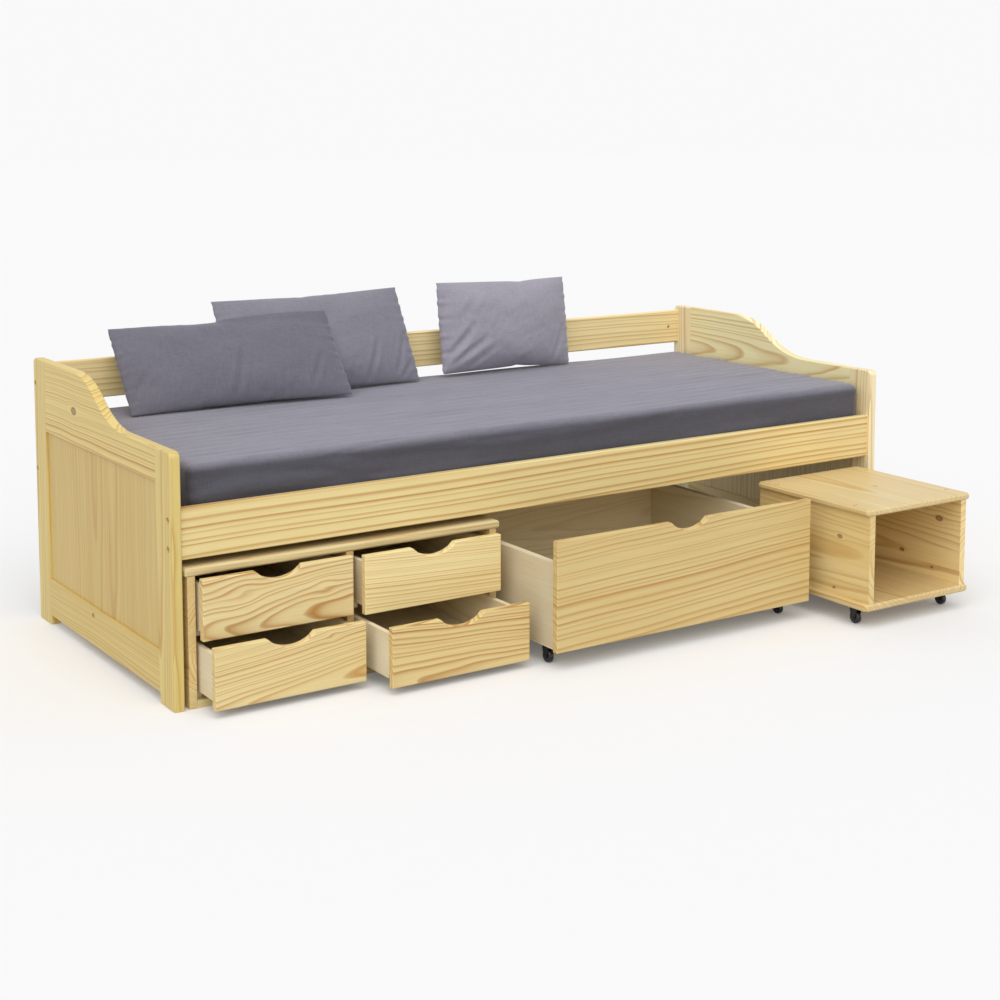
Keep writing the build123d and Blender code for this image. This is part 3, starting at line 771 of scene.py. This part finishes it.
@dataclass
class Mattress:
    """Foam mattress in a fitted sheet: crisp rim, flat top and slack folds along its front.

    All in mm: the mesh's cell, the rim's radius, the height of the front's folds, how far the sheet
    lies inside the CAD solid, and how far a fold may stand out of it.
    """

    node: str = "mattress"
    cell: float = 9.0
    rim: float = 24.0
    folds: float = 4.6
    slack: float = 2.6
    loose: float = 0.6

    def build(self) -> Object:
        """Model the mattress in the room of its CAD solid.

        Returns:
            The mattress, still without its cloth.
        """
        low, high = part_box(self.node)
        size = high - low
        cells = [max(2, round(side / (self.cell * MM))) for side in size]
        mesh = self.grid_box(low, high, cells)
        points = read_points(mesh)
        self.round_rim(points, low, high)
        write_points(mesh, points)
        normals = np.zeros(len(points) * 3)
        mesh.vertices.foreach_get("normal", normals)
        normals = normals.reshape(-1, 3)
        write_points(mesh, points + normals * self.wrinkles(points, normals, low, high)[:, None])
        piece = add_piece("mattress_in_sheet", mesh)
        round_cells(piece)
        return piece

    def grid_box(self, low: Vector, high: Vector, cells: list[int]) -> Mesh:
        """A box of small square faces.

        Args:
            low: lowest corner in metres.
            high: highest corner in metres.
            cells: faces along each axis.

        Returns:
            The closed mesh.
        """
        build = bmesh.new()
        corners = {}
        steps = [np.linspace(low[i], high[i], cells[i] + 1) for i in range(3)]

        def corner(place: tuple[int, int, int]) -> bmesh.types.BMVert:
            """The vertex at a grid place, made when first asked for."""
            if place not in corners:
                corners[place] = build.verts.new([steps[i][place[i]] for i in range(3)])
            return corners[place]

        for axis in range(3):
            first, second = (axis + 1) % 3, (axis + 2) % 3
            for end in (0, cells[axis]):
                for i in range(cells[first]):
                    for j in range(cells[second]):
                        ring = []
                        for di, dj in ((0, 0), (1, 0), (1, 1), (0, 1)):
                            place = [0, 0, 0]
                            place[axis], place[first], place[second] = end, i + di, j + dj
                            ring.append(corner(tuple(place)))
                        build.faces.new(ring if end else ring[::-1])
        mesh = bpy.data.meshes.new("mattress_in_sheet")
        build.to_mesh(mesh)
        build.free()
        return mesh

    def round_rim(self, points: np.ndarray, low: Vector, high: Vector) -> None:
        """Round every edge of the box in place, by pulling its faces to a core inside it."""
        radius = self.rim * MM
        core = np.clip(points, np.array(low) + radius, np.array(high) - radius)
        arm = points - core
        length = np.linalg.norm(arm, axis=1, keepdims=True)
        points[:] = core + arm / np.maximum(length, 1e-9) * radius

    def wrinkles(self, points: np.ndarray, normals: np.ndarray, low: Vector, high: Vector) -> np.ndarray:
        """How far each point of the sheet stands in or out.

        Args:
            points: the rounded box in metres.
            normals: its outward directions.
            low: lowest corner of the room.
            high: highest corner of the room; not used.

        Returns:
            Distance along the normal in metres, inwards except for the loose folds.
        """
        top = np.clip(normals[:, 2], 0, 1) ** 2
        front = np.clip(-normals[:, 1], 0, 1)
        plan, face = points[:, [0, 1]], points[:, [0, 2]]
        fine = sines(plan, 11, (18, 44), 5.0, 14) * 1.1
        broad = sines(plan, 12, (120, 260), 3.0) * 1.2
        slack = sines(face, 13, (38, 75), 7.0, 10)
        crisp = -np.exp(-((slack / 0.35) ** 2))
        reach = 0.45 + 0.55 * np.exp(-((points[:, 0] - low[0] - 0.25) / 0.55) ** 2)
        depth = top * (fine + broad) * 0.8 + front * (slack * 0.8 + crisp * 1.4) * self.folds * reach
        depth += (1 - top) * (1 - front) * sines(points[:, [1, 2]], 14, (40, 90), 2.0)
        return np.minimum(depth - self.slack, self.loose) * MM

    def dress(self, piece: Object) -> None:
        """Put the sheet's cloth on it and tell the frame what it stands for."""
        # The skirt colour paints shade on the sheet's sides below the rim.
        cotton = Cotton("woven cotton sheet", "#8A8892", "#706E78", painted_shade_skirt="#A9A9AB")
        piece.data.materials.append(cotton.material(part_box(self.node)[1].z - 1.5 * MM))
        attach(piece, "bed")
        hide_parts(self.node)
        logging.info("made %s", piece.name)


@dataclass(frozen=True)
class Crease:
    """A crease pressed into a cushion's front, from one point to another in mm."""

    start: Pair
    end: Pair
    width: float
    depth: float


@dataclass
class Cushion:
    """Stuffed cushion leaning on the backrest: two sheets blown up between their seams.

    The size is width, height and thickness in mm; the place is the middle of the lower seam, from
    the bed's left end, in front of the backrest and above the mattress; the turn is yaw, backward
    lean and roll in degrees. They are the CAD solid's own. Draw is how far the seams come in, in mm.
    Evenness is the full cushion's share of the crown, whose powers are those across, up and over all.
    A dent is spread in fade_steps over the cloth round it and keeps the fade's share at each, and the
    gap in mm stays between the cushion and what it leans on.
    """

    name: str
    node: str
    size: Triple
    place: Triple
    turn: Triple
    cotton: Cotton
    creases: tuple[Crease, ...] = ()
    cell: float = 8.0
    seed: int = 1
    pressure: float = 2.0
    frames: int = 16
    draw: float = 11.0
    evenness: float = 0.5
    crown: Triple = (3.2, 2.2, 0.6)
    fade_steps: int = 24
    fade: float = 0.985
    gap: float = 1.5

    def matrix(self) -> Matrix:
        """The cushion's own axes: x along its lower seam, y up it and z out of its front."""
        yaw, lean, roll = (math.radians(angle) for angle in self.turn)
        along = Vector((math.cos(yaw), math.sin(yaw), 0))
        backward = Vector((-math.sin(yaw), math.cos(yaw), 0))
        upward = Vector((0, 0, math.cos(lean))) + backward * math.sin(lean)
        x_axis = along * math.cos(roll) + upward * math.sin(roll)
        y_axis = upward * math.cos(roll) - along * math.sin(roll)
        left_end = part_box("left_rear_post")[0].x
        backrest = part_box("backrest_rail")[0].y
        mattress_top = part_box("mattress")[1].z
        x, y, z = (value * MM for value in self.place)
        turned = Matrix((x_axis, y_axis, x_axis.cross(y_axis))).transposed().to_4x4()
        turned.translation = (left_end + x, backrest - y, mattress_top + z)
        return turned

    def sheets(self) -> Mesh:
        """Two sheets of square cells, joined all round at the seam.

        Returns:
            The closed, nearly flat mesh.
        """
        width, height, thick = (side * MM for side in self.size)
        columns, rows = (max(4, round(side / (self.cell * MM))) for side in (width, height))
        draw = np.random.default_rng(self.seed)
        build = bmesh.new()
        grids = []
        for face in (1, -1):
            grid = {}
            for i in range(columns + 1):
                for j in range(rows + 1):
                    u, v = 2 * i / columns - 1, 2 * j / rows - 1
                    rim = i in (0, columns) or j in (0, rows)
                    if face < 0 and rim:
                        grid[i, j] = grids[0][i, j]
                        continue
                    bulge = 0 if rim else 0.16 * thick * (1 - u**4) * (1 - v**4)
                    bulge *= 1 + draw.uniform(-0.12, 0.12)
                    grid[i, j] = build.verts.new((u * width / 2, v * height / 2, face * bulge))
            grids.append(grid)
            for i in range(columns):
                for j in range(rows):
                    ring = [grid[i, j], grid[i + 1, j], grid[i + 1, j + 1], grid[i, j + 1]]
                    build.faces.new(ring if face > 0 else ring[::-1])
        mesh = bpy.data.meshes.new(self.name)
        build.to_mesh(mesh)
        build.free()
        return mesh

    def inflate(self, piece: Object) -> None:
        """Blow the sheets up as cloth, then keep the result as the piece's mesh.

        The filling is tighter than a cover alone would allow, so the seams are let back out to
        their real draw, and the crown is evened with that of a full cushion.
        """
        flat = read_points(piece.data)
        cloth = piece.modifiers.new("cloth", "CLOTH")
        settings = cloth.settings
        settings.quality = 6
        settings.mass = 0.25
        settings.tension_stiffness = 30
        settings.compression_stiffness = 30
        settings.shear_stiffness = 12
        settings.bending_stiffness = 0.6
        settings.use_pressure = True
        settings.uniform_pressure_force = self.pressure
        settings.effector_weights.gravity = 0
        cloth.collision_settings.use_collision = False
        cloth.point_cache.frame_start = 1
        cloth.point_cache.frame_end = self.frames
        scene = bpy.context.scene
        for number in range(1, self.frames + 1):
            scene.frame_set(number)
        apply_modifiers(piece)
        scene.frame_set(1)
        blown = read_points(piece.data)
        drawn = blown[:, :2] - flat[:, :2]
        blown[:, :2] = flat[:, :2] + drawn * min(1.0, self.draw * MM / np.abs(drawn).max())
        reach = np.abs(flat[:, :2]) / np.abs(flat[:, :2]).max(0)
        across, up, over_all = self.crown
        crown = ((1 - reach[:, 0] ** across) * (1 - reach[:, 1] ** up)) ** over_all
        swell = np.abs(blown[:, 2]) / np.abs(blown[:, 2]).max()
        mixed = self.evenness * crown + (1 - self.evenness) * swell
        blown[:, 2] = np.sign(flat[:, 2]) * mixed * self.size[2] / 2 * MM
        write_points(piece.data, blown)

    def fit(self, points: np.ndarray) -> np.ndarray:
        """Bring the blown up shape to the cushion's own size, its lower seam at y = 0."""
        low, high = points.min(0), points.max(0)
        width, height, thick = (side * MM for side in self.size)
        scaled = (points - (low + high) / 2) / (high - low) * np.array([width, height, thick])
        scaled[:, 1] += height / 2
        return scaled

    def press_creases(self, points: np.ndarray) -> np.ndarray:
        """Press the creases and the puckers of the side seams into the cushion.

        Args:
            points: the fitted cushion in metres, on its own axes.

        Returns:
            The creased points.
        """
        width, height, thick = (side * MM for side in self.size)
        made = points.copy()
        face = np.tanh(points[:, 2] / (0.08 * thick))
        flat = points[:, :2]
        for crease in self.creases:
            start, end = (np.array(p) * MM for p in (crease.start, crease.end))
            run = end - start
            share = np.clip((flat - start) @ run / (run @ run), 0, 1)
            away = np.linalg.norm(flat - start - share[:, None] * run, axis=1) / (crease.width * MM)
            fade = np.sin(math.pi * (0.12 + 0.76 * share))
            press = -np.exp(-(away**2)) + 0.45 * np.exp(-((away - 1.7) ** 2) * 1.6)
            made[:, 2] += np.clip(face, 0, 1) * press * fade * crease.depth * MM
        edge = width / 2 - np.abs(points[:, 0])
        ripple = np.sin(points[:, 1] * 2 * math.pi / (31 * MM) + self.seed)
        ripple += 0.6 * np.sin(points[:, 1] * 2 * math.pi / (19 * MM) + 2.1 * self.seed)
        made[:, 2] += face * ripple * 1.3 * MM * np.exp(-edge / (22 * MM))
        made[:, 0] += np.sign(points[:, 0]) * ripple * 0.9 * MM * np.exp(-edge / (10 * MM))
        rise = np.minimum(points[:, 1], height - points[:, 1])
        run = np.sin(points[:, 0] * 2 * math.pi / (47 * MM) + 3.3 * self.seed)
        made[:, 2] += face * run * 0.7 * MM * np.exp(-rise / (20 * MM))
        soft = sines(flat, 40 + self.seed, (60, 140), 1.0)
        made[:, 2] += face * soft * 1.1 * MM
        return made

    def build(self, neighbours: list[Object]) -> Object:
        """Make the cushion and set it down clear of what it touches.

        Args:
            neighbours: finished cushions that this one leans on.

        Returns:
            The cushion, with its own axes as its object's axes.
        """
        piece = add_piece(self.name, self.sheets())
        self.inflate(piece)
        round_cells(piece)
        points = self.press_creases(self.fit(read_points(piece.data)))
        matrix = self.matrix()
        world = points @ np.array(matrix.to_3x3()).T + np.array(matrix.translation)
        self.settle(world, neighbours, piece)
        back = matrix.inverted()
        write_points(piece.data, world @ np.array(back.to_3x3()).T + np.array(back.translation))
        piece.matrix_world = matrix
        return piece

    def settle(self, world: np.ndarray, neighbours: list[Object], piece: Object) -> None:
        """Move points in place, out of the mattress, the backrest and the cushions behind.

        Args:
            world: the cushion's points in the frame, moved in place.
            neighbours: finished cushions that this one leans on.
            piece: the cushion, for how its points are joined.
        """
        gap = self.gap * MM
        forward = self.matrix().col[2].to_3d()
        ends = np.array([edge.vertices[:] for edge in piece.data.edges])
        joined = np.bincount(ends.ravel(), minlength=len(world))
        own = (world - np.array(self.matrix().translation)) @ np.array(forward)
        for other in neighbours:
            bpy.context.view_layer.update()
            tree = BVHTree.FromObject(other, bpy.context.evaluated_depsgraph_get())
            inverse = other.matrix_world.inverted()
            heading = (inverse.to_3x3() @ forward).normalized()
            push = np.zeros(len(world))
            for row, point in enumerate(world):
                hit, normal, _, distance = tree.ray_cast(inverse @ Vector(point), heading, RAY_REACH)
                if hit is not None and normal.dot(heading) > 0:
                    push[row] = distance + gap + 0.3 * max(0.0, own[row])
            # The dent fades out over its surroundings, as cloth over a filling does.
            for _ in range(self.fade_steps):
                shared = np.bincount(ends[:, 0], push[ends[:, 1]], len(world))
                shared += np.bincount(ends[:, 1], push[ends[:, 0]], len(world))
                push = np.maximum(push, self.fade * shared / joined)
            world += push[:, None] * np.array(forward)
        low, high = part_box("backrest_rail")
        behind = (world[:, 2] < high.z + gap) & (world[:, 2] > low.z - gap)
        world[behind, 1] = np.minimum(world[behind, 1], low.y - gap / 2)
        world[:, 2] = np.maximum(world[:, 2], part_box("mattress")[1].z + 0.4 * MM)

    def dress(self, piece: Object) -> None:
        """Put the cover's cloth on it and tell the frame what it stands for."""
        piece.data.materials.append(self.cotton.material())
        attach(piece, "bed")
        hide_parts(self.node)
        logging.info("made %s", piece.name)


@dataclass
class SoftGoods:
    """The mattress, the two pillows and the small cushion."""

    mattress: Mattress = field(default_factory=Mattress)
    cushions: tuple[Cushion, ...] = (
        Cushion(
            "middle_pillow_case", "middle_pillow", (576, 277, 92), (762, 119, 1.6),
            (3.5, 26, 0.2), Cotton("woven cotton middle pillow", "#8C8A95", "#74727C"),
            (
                Crease((120, 20), (165, 120), 9, 4.4), Crease((215, 30), (262, 130), 8, 4.6),
                Crease((230, 12), (275, 60), 7, 2.6), Crease((60, 8), (75, 70), 8, 2),
            ),
            seed=2,
        ),
        # Its cover is the pillows' grey cloth made darker: painted shade.
        Cushion(
            "left_pillow_case", "left_pillow", (596, 264, 92), (470, 208, 4.3),
            (-5, 42, 1), Cotton("woven cotton left pillow in painted shade", "#77757F", "#605E68"),
            (
                Crease((-20, 20), (25, 150), 10, 5), Crease((20, 140), (-10, 235), 12, 2),
                Crease((190, 30), (240, 120), 8, 4), Crease((-270, 60), (-225, 120), 9, 4),
                Crease((-60, 15), (-75, 90), 8, 1.8), Crease((110, 12), (120, 80), 7, 1.8),
            ),
            seed=3,
        ),
        # Its cover is lighter than the pillows': partly a paler cloth, partly painted light.
        Cushion(
            "small_cushion_cover", "small_cushion", (446, 258, 104), (1361, 73, 4.3),
            (2, 9, -1), Cotton("woven cotton small cushion", "#A8A4AF", "#8E8A95"),
            (
                Crease((-205, 50), (-130, 130), 10, 5.6), Crease((-190, 30), (-90, 95), 9, 4.6),
                Crease((-150, 12), (-60, 70), 9, 2.6), Crease((150, 20), (190, 110), 9, 3.6),
                Crease((-170, 150), (-110, 215), 10, 1.8),
            ),
            seed=5,
        ),
    )

    def build(self) -> None:
        """Make and dress every soft piece; each cushion is set against those before it."""
        sheeted = self.mattress.build()
        self.mattress.dress(sheeted)
        made = []
        for cushion in self.cushions:
            piece = cushion.build(made if cushion.node == "left_pillow" else [])
            cushion.dress(piece)
            made.append(piece)


@dataclass
class Studio:
    """Near white floor and surroundings, a broad soft lamp, and the camera."""

    camera_place: Triple = (-2.4717, -3.6484, 1.2997)
    camera_azimuth: float = 56.457
    camera_elevation: float = -6.439
    lens: float = 63.5
    shift: float = -0.2
    floor_half: float = 30.0
    sky: float = 0.58
    lamp: float = 1.95
    lamp_spread: float = 70.0
    lamp_direction: Triple = (-0.36, -0.52, 0.78)

    def build(self) -> None:
        """Set up the whole studio."""
        self.build_floor()
        self.build_world()
        self.build_lamp()
        self.build_camera()

    def seen(self, tree: NodeTree) -> NodeSocket:
        """1 where the camera, a gloss or a glass looks straight at something, else 0."""
        path = add_node(tree, "LightPath").node.outputs
        direct = calc(tree, "MAXIMUM", path["Is Camera Ray"], path["Is Glossy Ray"])
        return calc(tree, "MAXIMUM", direct, path["Is Transmission Ray"])

    def build_floor(self) -> None:
        """A near white floor that keeps part of the object's shadow."""
        half = self.floor_half
        mesh = bpy.data.meshes.new("floor")
        mesh.from_pydata(
            [(-half, -half, 0), (half, -half, 0), (half, half, 0), (-half, half, 0)], [], [(0, 1, 2, 3)]
        )
        floor = bpy.data.objects.new("floor", mesh)
        bpy.context.scene.collection.objects.link(floor)
        material = new_material("studio paper")
        tree = material.node_tree
        bounce = add_node(tree, "BsdfDiffuse", {"Color": linear("#D2D2D2")})
        paper = add_node(tree, "BsdfDiffuse", {"Color": linear("#F3F3F4")})
        glow = add_node(tree, "Emission", {"Color": linear("#F9F9F9"), "Strength": 1.0})
        shown = add_node(tree, "MixShader", {0: 0.1, 1: paper, 2: glow})
        surface = add_node(tree, "MixShader", {0: self.seen(tree), 1: bounce, 2: shown})
        add_node(tree, "OutputMaterial", {"Surface": surface})
        mesh.materials.append(material)

    def build_world(self) -> None:
        """Even light from all round, and near white where it is seen."""
        world = bpy.data.worlds.new("studio")
        world.use_nodes = True
        tree = world.node_tree
        tree.nodes.clear()
        light = add_node(tree, "Background", {0: linear("#FFFFFF"), 1: self.sky})
        shown = add_node(tree, "Background", {0: linear("#F9F9F9"), 1: 1.0})
        surface = add_node(tree, "MixShader", {0: self.seen(tree), 1: light, 2: shown})
        add_node(tree, "OutputWorld", {0: surface})
        bpy.context.scene.world = world

    def build_lamp(self) -> None:
        """One broad lamp above the front left."""
        lamp = bpy.data.lights.new("soft_lamp", "SUN")
        lamp.energy = self.lamp
        lamp.angle = math.radians(self.lamp_spread)
        holder = bpy.data.objects.new("soft_lamp", lamp)
        holder.rotation_mode = "QUATERNION"
        holder.rotation_quaternion = Vector(self.lamp_direction).to_track_quat("Z", "Y")
        bpy.context.scene.collection.objects.link(holder)

    def build_camera(self) -> None:
        """The camera at the photograph's angle."""
        data = bpy.data.cameras.new("camera")
        data.sensor_width = 36.0
        data.lens = self.lens
        data.shift_y = self.shift
        data.clip_end = 100.0
        camera = bpy.data.objects.new("camera", data)
        azimuth, elevation = math.radians(self.camera_azimuth), math.radians(self.camera_elevation)
        direction = Vector(
            (
                math.cos(elevation) * math.cos(azimuth),
                math.cos(elevation) * math.sin(azimuth),
                math.sin(elevation),
            )
        )
        camera.location = self.camera_place
        camera.rotation_mode = "QUATERNION"
        camera.rotation_quaternion = direction.to_track_quat("-Z", "Y")
        bpy.context.scene.collection.objects.link(camera)
        bpy.context.scene.camera = camera


def main() -> None:
    """Dress the frame, make the soft goods and light the studio."""
    logging.basicConfig(level=logging.INFO, format="%(message)s")
    bpy.context.scene.view_settings.view_transform = "Standard"
    for assembly in (BedFrame(), Chest(), RollingDrawer(), SideTable()):
        assembly.dress()
    SoftGoods().build()
    Studio().build()


if __name__ == "__main__":
    main()
